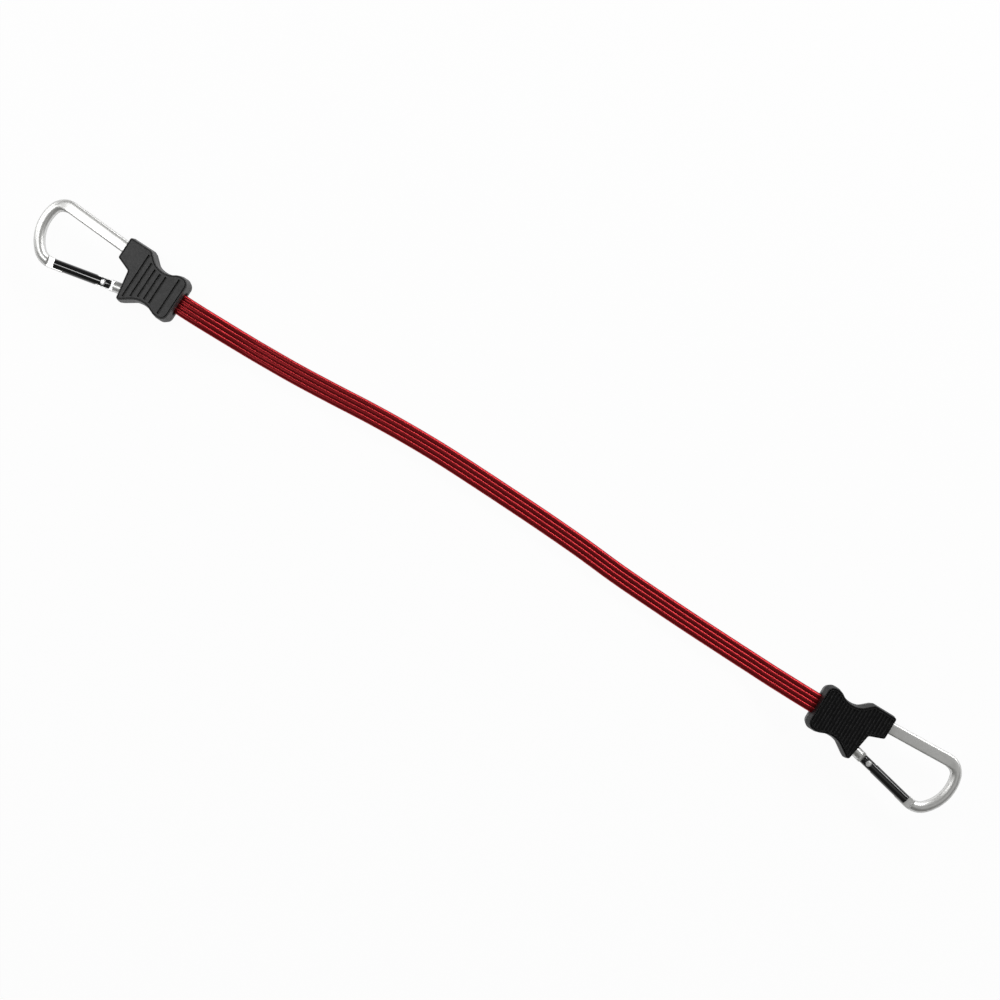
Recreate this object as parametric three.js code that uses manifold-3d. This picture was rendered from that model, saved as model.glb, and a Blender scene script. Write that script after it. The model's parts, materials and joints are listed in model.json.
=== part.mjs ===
// A flat bungee cord: four rubber strands in one woven sheath, with a snap hook at each end.
// Millimetres, +Z up. The cord lies on the floor along X, its left end with the front face up and
// its right end with the back face up. Each end is built in its own frame: the origin is where the
// strap enters the housing at half its thickness, +x runs to the hook, +y to the hook's spine and
// +z to the back face.

import * as THREE from 'three';
import { mergeVertices } from 'three/addons/utils/BufferGeometryUtils.js';
import Module from 'manifold-3d';

const wasm = await Module();
wasm.setup();

// Clearances
const fitGap = 0.3;
const seamGap = 0.3;

// Strap: ribs side by side, each a sheath round one rubber strand
const strandCount = 4;
const strandDiameter = 1.9;
const strandWeb = 0.5;
const sheathWall = 0.35;
const ribFlank = THREE.MathUtils.degToRad(43);
const loopWidth = 9;
const loopThickness = 2.4;
const tailLength = 0.8;
const strapTuck = 4;

// Crimp band round the folded strap
const crimpLength = 8;
const crimpWall = 1;
const crimpCornerRadius = 1.2;
const loopNeck = 1.6;

// Hook rod
const rodDiameter = 6.4;
const spineWidth = 7.2;
const spineThickness = 5;
const spineOffset = 10.1;
const spineRise = THREE.MathUtils.degToRad(2.6);
const spineFlatRun = 4;
const hookReach = 50.8;
const topBendRadius = 8.6;
const topBendAngle = THREE.MathUtils.degToRad(77.6);
const bowRadius = 24;
const bowAngle = THREE.MathUtils.degToRad(60);
const noseBendRadius = 10;
const barDistance = 24.5;
const barBendRadius = 5;

// Milled ends of the rod: the nose tongue and the pivot blade
const bladeThickness = 2.6;
const bladeReach = 3.4;
const bladeWidth = 5.4;
const tangShoulder = 6.2;
const noseStraight = 2;
const noseFlat = 4.2;
const tongueLength = 5.6;
const tongueInnerEdge = 1.2;

// Gate, its rivet, spring and plunger
const gateDiameter = 5.9;
const gateHeel = 4;
const gateChamfer = 0.4;
const pivotReach = 0.3;
const pivotOffset = -13.4;
const forkDepth = 4.8;
const rivetDiameter = 2.2;
const rivetHeadDiameter = 2.8;
const rivetHeadHeight = 0.5;
const rivetHeadStand = 0.15;
const rivetDomeDiameter = 1.7;
const rivetDomeHeight = 0.2;
const springBoreDepth = 13;
const springDiameter = 2.6;
const springWire = 0.45;
const springTurns = 8;
const plungerHeadLength = 2.2;
const plungerStemDiameter = 1;
const plungerStemLength = 4;

// Housing outline, in plan: the mouth's end is measured from the mouth, the hook's end from the neck
const housingThickness = 16;
const housingLength = 42.5;
const flangeHalfWidth = 14;
const flangeLength = 8;
const flangeEndRadius = 4;
const flangeSideRadius = 6;
const waistRadius = 11;
const waistDistance = 17.2;
const waistSpineSide = 7.7;
const waistGateSide = -10;
const spineSideEdge = 17;
const gateSideEdge = -17.7;
const bumpSetback = 14.9;
const bumpRadius = 1.5;
const heelSetback = 13.9;
const heelRadius = 2.5;
const gateFaceSetback = 11.5;
const neckLength = 8.7;
const notchOffset = -0.8;
const notchRadius = 1.2;
const neckInnerEdge = 2.6;
const neckRadius = 1;

// Housing mouldings
const draft = 0.7;
const edgeBevel = 0.8;
const housingWall = 2.2;
const saddleThickness = 1.6;
const saddleReach = 6;
const postDiameter = 2.8;
const postHeight = 3;
const bossWall = 1.2;
const flangePostDistance = 5.2;
const flangePostOffset = 9.6;
const neckPostSetback = 3.9;
const neckPostOffset = 3.9;
const mouthFlareDepth = 2;
const mouthFlare = 1.4;
const gripGrooveWidth = 0.9;
const gripGrooveDepth = 0.6;
const gripGrooveMargin = 2.6;
const gripGroovePitch = 3.65;
const gripGrooveCount = 5;
const gripGrooveStart = 13;
const endGrooveDistance = 5.9;
const fineGrooveWidth = 0.7;
const fineGrooveDepth = 0.4;
const fineGrooveMargin = 1.6;
const fineGroovePitch = 1.95;
const fineGrooveStart = 4;
const fineGrooveSetback = 3.4;

// Least radius of a rounded corner, reach of a cut past a face, and distance at which points merge
const leastCornerRadius = 0.3;
const overcut = 1;
const mergeDistance = 1e-4;

// Facets
const rodSides = 12;
const bendSteps = 6;
const strandSides = 8;
const ribArcSteps = 2;
const roundSides = 12;
const springSteps = 8;
const springSides = 5;

// Sizes that follow from the ones above
const halfThickness = housingThickness / 2;
const rodRadius = rodDiameter / 2;
const gateRadius = gateDiameter / 2;
const boreRadius = strandDiameter / 2 + fitGap;
const ribRadius = boreRadius + sheathWall;
const strandPitch = 2 * boreRadius + strandWeb;
const strapHalfWidth = (strandCount - 1) * strandPitch / 2 + ribRadius;
const loopInnerRadius = rodRadius + fitGap;
const loopOuterRadius = loopInnerRadius + loopThickness;
const pocketDepth = loopOuterRadius + fitGap;
const crimpDistance = barDistance - loopOuterRadius - loopNeck - crimpLength;
const legHalfGap = fitGap / 2;
const legRoomHalf = legHalfGap + loopThickness + fitGap;
const loopRoomHalf = loopWidth / 2 + fitGap;
const springBoreRadius = springDiameter / 2 + fitGap;

// Middle line of the strap, lying on the floor: the ends rise to the housings' mouths
const mouthHeight = halfThickness;
const strapRoute = [
  [-215.85, 10.18, mouthHeight],
  [-211.85, 9.96, mouthHeight],
  [-206.85, 9.68, 7.95],
  [-198.15, 9.36, 7.2],
  [-189.15, 9.16, 5.5],
  [-180.15, 8.96, 3.6],
  [-171.15, 8.83, 2.2],
  [-161.15, 8.71, 1.7],
  [-137.15, 8.86, 1.7],
  [-113.15, 9.71, 1.7],
  [-89.15, 10.86, 1.7],
  [-65.15, 11.36, 1.7],
  [-41.15, 11.06, 1.7],
  [-17.15, 9.96, 1.7],
  [6.85, 8.61, 1.7],
  [30.85, 7.06, 1.7],
  [54.85, 5.11, 1.7],
  [78.85, 2.61, 1.7],
  [102.85, 0.86, 1.7],
  [126.85, -0.64, 1.7],
  [148.85, -1.79, 1.7],
  [161.85, -2.44, 1.7],
  [171.85, -2.89, 2.2],
  [180.85, -3.34, 3.6],
  [189.85, -3.66, 5.5],
  [198.85, -3.94, 7.2],
  [206.85, -4.13, 7.95],
  [211.85, -4.24, mouthHeight],
  [215.85, -4.33, mouthHeight],
].map(([x, y, z]) => new THREE.Vector3(x, y, z));

// Finishes
const finishes = {
  sheath: { color: 0xa3141c, roughness: 0.5, metalness: 0 },
  rubber: { color: 0xd9c9a3, roughness: 0.8, metalness: 0 },
  aluminium: { color: 0xc9cacb, roughness: 0.35, metalness: 1 },
  blackAnodised: { color: 0x0c0c0e, roughness: 0.25, metalness: 0.6 },
  steel: { color: 0xb8babd, roughness: 0.3, metalness: 1 },
  blackPlastic: { color: 0x2c2c2e, roughness: 0.6, metalness: 0 },
};

function namedMesh(name, geometry, finish) {
  const mesh = new THREE.Mesh(geometry, new THREE.MeshStandardMaterial(finishes[finish]));
  mesh.name = name;
  return mesh;
}

function direction(angle) {
  return new THREE.Vector2(Math.cos(angle), Math.sin(angle));
}

function pointFrom(start, angle, distance) {
  return start.clone().addScaledVector(direction(angle), distance);
}

// Closed geometry from points and triangles, with every face turned outwards
function closedGeometry(points, triangles) {
  const crossed = new THREE.Vector3();
  let volume = 0;
  for (const [a, b, c] of triangles) {
    volume += points[a].dot(crossed.crossVectors(points[b], points[c]));
  }
  const outwards = triangles.flatMap(([a, b, c]) => (volume > 0 ? [a, b, c] : [a, c, b]));
  const geometry = new THREE.BufferGeometry();
  geometry.setFromPoints(points);
  geometry.setIndex(outwards);
  geometry.computeVertexNormals();
  return geometry;
}

// Skin over rings of points that share one section: its outline, then any holes, as flat points.
// place(point, ring) puts a flat point of the section on that ring.
function skinGeometry(ringCount, place, outline, holes = []) {
  const loops = [outline, ...holes];
  const flat = loops.flat();
  const points = [];
  for (let ring = 0; ring < ringCount; ring += 1) {
    points.push(...flat.map((point) => place(point, ring)));
  }
  const triangles = [];
  for (let ring = 0; ring < ringCount - 1; ring += 1) {
    let first = ring * flat.length;
    for (const loop of loops) {
      loop.forEach((point, i) => {
        const a = first + i;
        const b = first + (i + 1) % loop.length;
        triangles.push([a, b, b + flat.length], [a, b + flat.length, a + flat.length]);
      });
      first += loop.length;
    }
  }
  const last = (ringCount - 1) * flat.length;
  for (const [a, b, c] of THREE.ShapeUtils.triangulateShape(outline, holes)) {
    triangles.push([a, c, b], [last + a, last + b, last + c]);
  }
  return closedGeometry(points, triangles);
}

// Solids for joining and cutting
function solid(geometry) {
  const bare = geometry.clone();
  bare.deleteAttribute('normal');
  bare.deleteAttribute('uv');
  const merged = mergeVertices(bare, mergeDistance);
  const index = merged.index.array;
  const triangles = [];
  for (let i = 0; i < index.length; i += 3) {
    const [a, b, c] = [index[i], index[i + 1], index[i + 2]];
    if (a !== b && b !== c && c !== a) {
      triangles.push(a, b, c);
    }
  }
  return new wasm.Manifold(new wasm.Mesh({
    numProp: 3,
    vertProperties: new Float32Array(merged.attributes.position.array),
    triVerts: new Uint32Array(triangles),
  }));
}

function geometryOf(body) {
  const mesh = body.getMesh();
  const geometry = new THREE.BufferGeometry();
  geometry.setAttribute('position', new THREE.Float32BufferAttribute(mesh.vertProperties, 3));
  geometry.setIndex(Array.from(mesh.triVerts));
  geometry.computeVertexNormals();
  return geometry;
}

function block([x0, x1], [y0, y1], [z0, z1]) {
  const box = new THREE.BoxGeometry(x1 - x0, y1 - y0, z1 - z0);
  return box.translate((x0 + x1) / 2, (y0 + y1) / 2, (z0 + z1) / 2);
}

// Upright post with its axis along z
function post(x, y, radius, [z0, z1]) {
  const cylinder = new THREE.CylinderGeometry(radius, radius, z1 - z0, roundSides);
  return cylinder.rotateX(Math.PI / 2).translate(x, y, (z0 + z1) / 2);
}

// Turned piece from [radius, distance] pairs, with its axis along x
function turned(profile) {
  const points = profile.map(([radius, along]) => new THREE.Vector2(radius, along));
  return new THREE.LatheGeometry(points, roundSides).rotateZ(-Math.PI / 2);
}

// Outline through corners { x, y, r }, anticlockwise, each rounded; inset moves every edge inwards
function roundedOutline(corners, inset = 0) {
  const count = corners.length;
  const along = corners.map((corner, i) => {
    const next = corners[(i + 1) % count];
    return new THREE.Vector2(next.x - corner.x, next.y - corner.y).normalize();
  });
  const points = [];
  corners.forEach((corner, i) => {
    const before = along[(i + count - 1) % count];
    const after = along[i];
    const turn = Math.atan2(before.cross(after), before.dot(after));
    const side = Math.sign(turn);
    const radius = Math.max(corner.r - side * inset, leastCornerRadius);
    const shift = inset / (1 + before.dot(after));
    const x = corner.x - (before.y + after.y) * shift;
    const y = corner.y + (before.x + after.x) * shift;
    const run = radius * Math.tan(Math.abs(turn) / 2);
    const start = new THREE.Vector2(x - before.x * run, y - before.y * run);
    const inwards = new THREE.Vector2(-before.y, before.x).multiplyScalar(side);
    const centre = start.clone().addScaledVector(inwards, radius);
    const steps = Math.max(2, Math.round(2 * Math.sqrt(corner.r)));
    for (let step = 0; step <= steps; step += 1) {
      const angle = turn * step / steps;
      points.push(start.clone().rotateAround(centre, angle));
    }
  });
  return points;
}

const heelCorner = { x: housingLength - heelSetback, y: gateSideEdge, r: heelRadius };
const housingCorners = [
  { x: 0, y: -flangeHalfWidth, r: flangeEndRadius },
  { x: flangeLength, y: -flangeHalfWidth, r: flangeSideRadius },
  { x: waistDistance, y: waistGateSide, r: waistRadius },
  heelCorner,
  { x: housingLength - gateFaceSetback, y: gateSideEdge, r: neckRadius },
  { x: housingLength - neckLength, y: notchOffset, r: notchRadius },
  { x: housingLength, y: neckInnerEdge, r: neckRadius },
  { x: housingLength, y: spineSideEdge, r: neckRadius },
  { x: housingLength - bumpSetback, y: spineSideEdge, r: bumpRadius },
  { x: waistDistance, y: waistSpineSide, r: waistRadius },
  { x: flangeLength, y: flangeHalfWidth, r: flangeSideRadius },
  { x: 0, y: flangeHalfWidth, r: flangeEndRadius },
];
const pocketCorners = housingCorners.filter((corner) => corner !== heelCorner);

// Lowest and highest y of an outline at one x
function spanAt(outline, x) {
  const crossings = [];
  outline.forEach((start, i) => {
    const end = outline[(i + 1) % outline.length];
    if ((start.x < x) !== (end.x < x)) {
      crossings.push(start.y + (end.y - start.y) * (x - start.x) / (end.x - start.x));
    }
  });
  return [Math.min(...crossings), Math.max(...crossings)];
}

// Middle line of the hook rod, in plan: it goes from the pivot blade round to the nose tongue, always
// turning clockwise
const pivot = new THREE.Vector2(housingLength + pivotReach, pivotOffset);
const topEndHeading = spineRise - topBendAngle;
const bowEndHeading = topEndHeading - bowAngle;
const quarter = Math.PI / 2;

const spineY = (x) => spineOffset + (x - housingLength) * Math.tan(spineRise);
const topBendSpan = direction(spineRise - quarter)
  .add(direction(topEndHeading + quarter))
  .multiplyScalar(topBendRadius);
const bowBack = direction(topEndHeading - quarter).multiplyScalar(bowRadius);
const topBendX = housingLength + hookReach - rodRadius - bowRadius - bowBack.x - topBendSpan.x;
const topBendStart = new THREE.Vector2(topBendX, spineY(topBendX));
const topBendCentre = pointFrom(topBendStart, spineRise - quarter, topBendRadius);
const bowCentre = topBendStart.clone().add(topBendSpan).add(bowBack);
const bowEnd = pointFrom(bowCentre, bowEndHeading + quarter, bowRadius);
const noseCentre = pointFrom(bowEnd, bowEndHeading - quarter, noseBendRadius);

// The nose and the tang lie on one line, which passes through the pivot and touches the nose bend
const pivotToNose = pivot.clone().sub(noseCentre);
const noseTouch = pivotToNose.angle() + Math.acos(noseBendRadius / pivotToNose.length());
const nosePoint = pointFrom(noseCentre, noseTouch, noseBendRadius);
const noseHeading = noseTouch - quarter;
const gateAngle = nosePoint.clone().sub(pivot).angle();
const gateReach = nosePoint.distanceTo(pivot) - noseStraight;
const tongueEnd = gateReach - tongueLength;
const tangHeading = gateAngle + Math.PI;

function clockwiseTurn(from, to) {
  return THREE.MathUtils.euclideanModulo(from - to, 2 * Math.PI);
}

// Stations along a clockwise bend: { point, heading, flat }
function bendStations(centre, radius, fromHeading, turn, flatAt = () => 0) {
  return Array.from({ length: bendSteps + 1 }, (unused, step) => {
    const share = step / bendSteps;
    const heading = fromHeading - turn * share;
    return { point: pointFrom(centre, heading + quarter, radius), heading, flat: flatAt(share) };
  });
}

// Bend at the corner where two straight runs of the rod would cross
function cornerStations(corner, fromHeading, toHeading, radius) {
  const turn = clockwiseTurn(fromHeading, toHeading);
  const start = pointFrom(corner, fromHeading, -radius * Math.tan(turn / 2));
  return bendStations(pointFrom(start, fromHeading - quarter, radius), radius, fromHeading, turn);
}

const tangY = (x) => pivot.y + (x - pivot.x) * Math.tan(gateAngle);
const barFoot = cornerStations(
  new THREE.Vector2(barDistance, tangY(barDistance)), tangHeading, quarter, barBendRadius);
const barHead = cornerStations(
  new THREE.Vector2(barDistance, spineY(barDistance)), quarter, spineRise, barBendRadius);
const spineStart = pointFrom(barHead.at(-1).point, spineRise, spineFlatRun);
const flatUntilHalfway = (share) => Math.max(0, 1 - 2 * share);
const noseTurn = clockwiseTurn(bowEndHeading, noseHeading);

const rodStations = [
  { point: pointFrom(pivot, gateAngle, bladeReach), heading: tangHeading, flat: 0 },
  ...barFoot,
  ...barHead,
  { point: spineStart, heading: spineRise, flat: 1 },
  ...bendStations(topBendCentre, topBendRadius, spineRise, topBendAngle, flatUntilHalfway),
  ...bendStations(bowCentre, bowRadius, topEndHeading, bowAngle).slice(1),
  ...bendStations(noseCentre, noseBendRadius, bowEndHeading, noseTurn).slice(1),
  { point: pointFrom(pivot, gateAngle, tongueEnd), heading: noseHeading, flat: 0 },
];

// Round rod that flattens along the spine; extra makes the channel that holds it
function rodGeometry(extra) {
  const circle = Array.from({ length: rodSides }, (unused, i) => {
    return direction((i + 0.5) * 2 * Math.PI / rodSides);
  });
  const squarish = (value, flat) => Math.sign(value) * Math.abs(value) ** (1 / (1 + flat));
  return skinGeometry(rodStations.length, ({ x, y }, ring) => {
    const { point, heading, flat } = rodStations[ring];
    const halfWidth = THREE.MathUtils.lerp(rodRadius, spineWidth / 2, flat) + extra;
    const halfHeight = THREE.MathUtils.lerp(rodRadius, spineThickness / 2, flat) + extra;
    const side = pointFrom(point, heading + quarter, halfWidth * squarish(x, flat));
    return new THREE.Vector3(side.x, side.y, halfHeight * squarish(y, flat));
  }, circle);
}

// The gate's frame: origin on the pivot, +x towards the nose
const gateMatrix = new THREE.Matrix4().makeRotationZ(gateAngle).setPosition(pivot.x, pivot.y, 0);

function gateBlock(xs, ys, zs) {
  return solid(block(xs, ys, zs).applyMatrix4(gateMatrix));
}

function carabinerFrame() {
  const far = rodDiameter;
  let frame = solid(rodGeometry(0));
  for (const side of [-1, 1]) {
    const outside = [side * bladeThickness / 2, side * far].sort((a, b) => a - b);
    frame = frame.subtract(gateBlock([-tangShoulder, bladeReach + overcut], [-far, far], outside));
    frame = frame.subtract(gateBlock([tongueEnd - overcut, gateReach + noseFlat], [-far, far], outside));
    const edge = [side * bladeWidth / 2, side * far].sort((a, b) => a - b);
    frame = frame.subtract(gateBlock([-gateHeel - fitGap, bladeReach + overcut], edge, [-far, far]));
  }
  const tongueRun = [tongueEnd - overcut, gateReach + fitGap];
  frame = frame.subtract(gateBlock(tongueRun, [tongueInnerEdge, far], [-far, far]));
  const hole = post(pivot.x, pivot.y, rivetDiameter / 2 + fitGap, [-far, far]);
  return geometryOf(frame.subtract(solid(hole)));
}

function gate() {
  const slotHalf = bladeThickness / 2 + fitGap;
  const far = gateDiameter;
  let body = solid(turned([
    [0, -gateHeel],
    [gateRadius - gateChamfer, -gateHeel],
    [gateRadius, -gateHeel + gateChamfer],
    [gateRadius, gateReach - gateChamfer],
    [gateRadius - gateChamfer, gateReach],
    [0, gateReach],
  ]));
  const slot = [-slotHalf, slotHalf];
  const noseRun = [tongueEnd - 2 * fitGap, gateReach + overcut];
  body = body.subtract(solid(block([-gateHeel - overcut, forkDepth], [-far, far], slot)));
  body = body.subtract(solid(block(noseRun, [-far, tongueInnerEdge + fitGap], slot)));
  body = body.subtract(solid(turned([
    [0, forkDepth - overcut],
    [springBoreRadius, forkDepth - overcut],
    [springBoreRadius, forkDepth + springBoreDepth],
    [0, forkDepth + springBoreDepth],
  ])));
  body = body.subtract(solid(post(0, 0, rivetDiameter / 2 + fitGap, [-far, far])));
  const seat = gateRadius + rivetHeadStand - rivetHeadHeight - fitGap;
  for (const span of [[seat, far], [-far, -seat]]) {
    body = body.subtract(solid(post(0, 0, rivetHeadDiameter / 2 + fitGap, span)));
  }
  return geometryOf(body);
}

// Rivet with a low domed head over each cheek of the gate
function gateRivet() {
  const top = gateRadius + rivetHeadStand;
  const under = top - rivetHeadHeight;
  const rim = rivetHeadDiameter / 2;
  const dome = rivetDomeDiameter / 2;
  const edge = top - rivetDomeHeight;
  return turned([
    [0, -top],
    [dome, -top],
    [rim, -edge],
    [rim, -under],
    [rivetDiameter / 2, -under],
    [rivetDiameter / 2, under],
    [rim, under],
    [rim, edge],
    [dome, top],
    [0, top],
  ]).rotateY(-Math.PI / 2);
}

const plungerTip = bladeReach + fitGap;
const plungerShoulder = plungerTip + plungerHeadLength;

function gatePlunger() {
  const head = springDiameter / 2;
  const stem = plungerStemDiameter / 2;
  return turned([
    [0, plungerTip],
    [head, plungerTip],
    [head, plungerShoulder],
    [stem, plungerShoulder],
    [stem, plungerShoulder + plungerStemLength],
    [0, plungerShoulder + plungerStemLength],
  ]);
}

// Coil spring between the plunger's shoulder and the floor of the gate's bore
function gateSpring() {
  const coilRadius = (springDiameter - springWire) / 2;
  const wire = springWire / 2;
  const first = plungerShoulder + fitGap + wire;
  const last = forkDepth + springBoreDepth - fitGap - wire;
  const count = springTurns * springSteps;
  const centres = Array.from({ length: count + 1 }, (unused, i) => {
    const angle = 2 * Math.PI * i / springSteps;
    const along = THREE.MathUtils.lerp(first, last, i / count);
    return new THREE.Vector3(along, coilRadius * Math.cos(angle), coilRadius * Math.sin(angle));
  });
  let least = Infinity;
  centres.forEach((centre, i) => {
    for (const other of centres.slice(i + springSteps / 2 + 1)) {
      least = Math.min(least, centre.distanceTo(other) - springWire);
    }
  });
  console.log(`gate spring, least gap to itself: ${least.toFixed(2)} mm`);
  const section = Array.from({ length: springSides }, (unused, i) => {
    return direction(2 * Math.PI * i / springSides);
  });
  return skinGeometry(count + 1, ({ x, y }, ring) => {
    const angle = 2 * Math.PI * ring / springSteps;
    const outwards = new THREE.Vector3(0, Math.cos(angle), Math.sin(angle));
    const point = centres[ring].clone().addScaledVector(outwards, wire * x);
    return point.setX(point.x + wire * y);
  }, section);
}

// Posts of the front shell that press into bosses of the back shell
const postPlaces = [
  { x: flangePostDistance, y: flangePostOffset },
  { x: flangePostDistance, y: -flangePostOffset },
  { x: housingLength - neckPostSetback, y: neckPostOffset },
];

// Housing shell: side is 1 for the back and -1 for the front
function housingShell(side) {
  const span = (near, far) => [side * near, side * far].sort((a, b) => a - b);
  const levels = [
    { height: seamGap / 2, inset: 0 },
    { height: halfThickness - edgeBevel, inset: draft },
    { height: halfThickness, inset: draft + edgeBevel },
  ];
  const rings = levels.map(({ inset }) => roundedOutline(housingCorners, inset));
  const body = solid(skinGeometry(levels.length, (point, ring) => {
    const { x, y } = rings[ring][rings[0].indexOf(point)];
    return new THREE.Vector3(x, y, side * levels[ring].height);
  }, rings[0]));

  const bossRadius = postDiameter / 2 + fitGap + bossWall;
  const pocketOutline = roundedOutline(pocketCorners, housingWall);
  let pocket = solid(skinGeometry(2, ({ x, y }, ring) => {
    return new THREE.Vector3(x, y, side * (ring === 0 ? -overcut : pocketDepth));
  }, pocketOutline));
  for (const saddle of housingSaddles()) {
    pocket = pocket.subtract(solid(saddle));
  }
  for (const { x, y } of postPlaces) {
    const boss = post(x, y, bossRadius, span(seamGap / 2, halfThickness));
    pocket = pocket.subtract(solid(boss));
  }

  let shell = body.subtract(pocket).subtract(solid(rodGeometry(fitGap)));
  for (const cut of strapPassage()) {
    shell = shell.subtract(solid(cut));
  }
  const grooves = side > 0 ? fineGrooves() : gripGrooves();
  for (const { x, width, depth, margin } of grooves) {
    const [low, high] = spanAt(rings.at(-1), x);
    const along = [x - width / 2, x + width / 2];
    const upright = span(halfThickness - depth, halfThickness + overcut);
    shell = shell.subtract(solid(block(along, [low + margin, high - margin], upright)));
  }
  for (const { x, y } of postPlaces) {
    if (side > 0) {
      const socket = post(x, y, postDiameter / 2 + fitGap, [-overcut, postHeight + fitGap]);
      shell = shell.subtract(solid(socket));
    } else {
      shell = shell.add(solid(post(x, y, postDiameter / 2, [-pocketDepth / 2, postHeight])));
    }
  }
  return geometryOf(shell);
}

// Walls inside the housing that carry the rod and stop the crimp
function housingSaddles() {
  const half = saddleThickness / 2;
  const depth = [-pocketDepth, pocketDepth];
  const neckX = housingLength - housingWall - saddleReach;
  const stops = [crimpDistance - fitGap - saddleThickness, crimpDistance + crimpLength + fitGap];
  const straight = barHead[0].point.y;
  const besideBar = [barDistance - saddleReach, barDistance + saddleReach];
  return [
    block([neckX - half, neckX + half], [spineY(neckX) - saddleReach, spineSideEdge], depth),
    block(besideBar, [straight + half, straight + 3 * half], depth),
    block(besideBar, [-straight - 3 * half, -straight - half], depth),
    ...stops.map((x) => block([x, x + saddleThickness], [-flangeHalfWidth, flangeHalfWidth], depth)),
  ];
}

// Way of the strap: a flared mouth, a slot to the crimp, the crimp's seat and the room round the bar
function strapPassage() {
  const slotWidth = strapHalfWidth + fitGap;
  const slotHeight = ribRadius + fitGap;
  const mouth = roundedOutline([
    { x: -slotWidth, y: -slotHeight, r: slotHeight / 2 },
    { x: slotWidth, y: -slotHeight, r: slotHeight / 2 },
    { x: slotWidth, y: slotHeight, r: slotHeight / 2 },
    { x: -slotWidth, y: slotHeight, r: slotHeight / 2 },
  ]);
  const stations = [
    { x: -overcut, flare: mouthFlare * (1 + overcut / mouthFlareDepth) },
    { x: mouthFlareDepth, flare: 0 },
    { x: crimpDistance, flare: 0 },
  ];
  const flared = skinGeometry(stations.length, ({ x, y }, ring) => {
    const { x: along, flare } = stations[ring];
    return new THREE.Vector3(along, x + Math.sign(x) * flare, y + Math.sign(y) * flare);
  }, mouth);
  const across = [-loopRoomHalf, loopRoomHalf];
  const crimpEnd = crimpDistance + crimpLength;
  const roomRadius = pocketDepth / Math.cos(Math.PI / roundSides);
  const room = new THREE.CylinderGeometry(roomRadius, roomRadius, 2 * loopRoomHalf, roundSides);
  return [
    flared,
    block([crimpDistance - 2 * saddleThickness, crimpEnd], across, [-legRoomHalf, legRoomHalf]),
    block([crimpEnd, barDistance], across, [-pocketDepth, pocketDepth]),
    room.translate(barDistance, 0, 0),
  ];
}

function gripGrooves() {
  const shared = { width: gripGrooveWidth, depth: gripGrooveDepth, margin: gripGrooveMargin };
  const row = Array.from({ length: gripGrooveCount }, (unused, i) => {
    return gripGrooveStart + i * gripGroovePitch;
  });
  return [endGrooveDistance, ...row].map((x) => ({ x, ...shared }));
}

function fineGrooves() {
  const shared = { width: fineGrooveWidth, depth: fineGrooveDepth, margin: fineGrooveMargin };
  const run = housingLength - fineGrooveStart - fineGrooveSetback;
  const count = 1 + Math.round(run / fineGroovePitch);
  return Array.from({ length: count }, (unused, i) => {
    return { x: fineGrooveStart + i * fineGroovePitch, ...shared };
  });
}

// Steel band closed round both legs of the folded strap
function strapCrimp() {
  const corners = (wall, radius) => [
    { x: -loopRoomHalf - wall, y: -legRoomHalf - wall, r: radius },
    { x: loopRoomHalf + wall, y: -legRoomHalf - wall, r: radius },
    { x: loopRoomHalf + wall, y: legRoomHalf + wall, r: radius },
    { x: -loopRoomHalf - wall, y: legRoomHalf + wall, r: radius },
  ];
  const outer = roundedOutline(corners(crimpWall, crimpCornerRadius));
  const inner = roundedOutline(corners(0, crimpCornerRadius / 2)).reverse();
  return skinGeometry(2, ({ x, y }, ring) => {
    return new THREE.Vector3(crimpDistance + ring * crimpLength, x, y);
  }, outer, [inner]);
}

// Strap end: one leg from the mouth, round the hook's bottom bar, and a tail back through the crimp
function strapEndLoop() {
  const crimpEnd = crimpDistance + crimpLength;
  const outside = legHalfGap + loopThickness;
  const bar = new THREE.Vector2(barDistance, 0);
  const touchAngle = (height, radius) => {
    const away = new THREE.Vector2(crimpEnd - barDistance, height);
    return away.angle() - Math.acos(radius / away.length());
  };
  const arc = (radius, fromAngle, toAngle) => Array.from({ length: roundSides + 1 }, (unused, i) => {
    return pointFrom(bar, THREE.MathUtils.lerp(fromAngle, toAngle, i / roundSides), radius);
  });
  const outerTouch = touchAngle(outside, loopOuterRadius);
  const innerTouch = touchAngle(legHalfGap, loopInnerRadius);
  const start = strapTuck + fitGap;
  const profile = [
    new THREE.Vector2(start, loopThickness / 2),
    new THREE.Vector2(crimpDistance, outside),
    new THREE.Vector2(crimpEnd, outside),
    ...arc(loopOuterRadius, outerTouch, -outerTouch),
    new THREE.Vector2(crimpEnd, -outside),
    new THREE.Vector2(crimpDistance - tailLength, -outside),
    new THREE.Vector2(crimpDistance - tailLength, -legHalfGap),
    new THREE.Vector2(crimpEnd, -legHalfGap),
    ...arc(loopInnerRadius, -innerTouch, innerTouch),
    new THREE.Vector2(crimpEnd, legHalfGap),
    new THREE.Vector2(crimpDistance, legHalfGap),
    new THREE.Vector2(start, -loopThickness / 2),
  ].reverse();
  return skinGeometry(2, ({ x, y }, ring) => {
    return new THREE.Vector3(x, (ring - 0.5) * loopWidth, y);
  }, profile);
}

// Free strap: rings square to its middle line and level across
const strandPlaces = Array.from({ length: strandCount }, (unused, i) => {
  return (i - (strandCount - 1) / 2) * strandPitch;
});
const strapFrames = strapRoute.map((point, i) => {
  const before = strapRoute[Math.max(i - 1, 0)];
  const after = strapRoute[Math.min(i + 1, strapRoute.length - 1)];
  const along = after.clone().sub(before).normalize();
  const across = new THREE.Vector3(-along.y, along.x, 0).normalize();
  return { point, across, up: along.clone().cross(across) };
});

function strapSkin(outline, holes) {
  return skinGeometry(strapFrames.length, ({ x, y }, ring) => {
    const { point, across, up } = strapFrames[ring];
    return point.clone().addScaledVector(across, x).addScaledVector(up, y);
  }, outline, holes);
}

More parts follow.
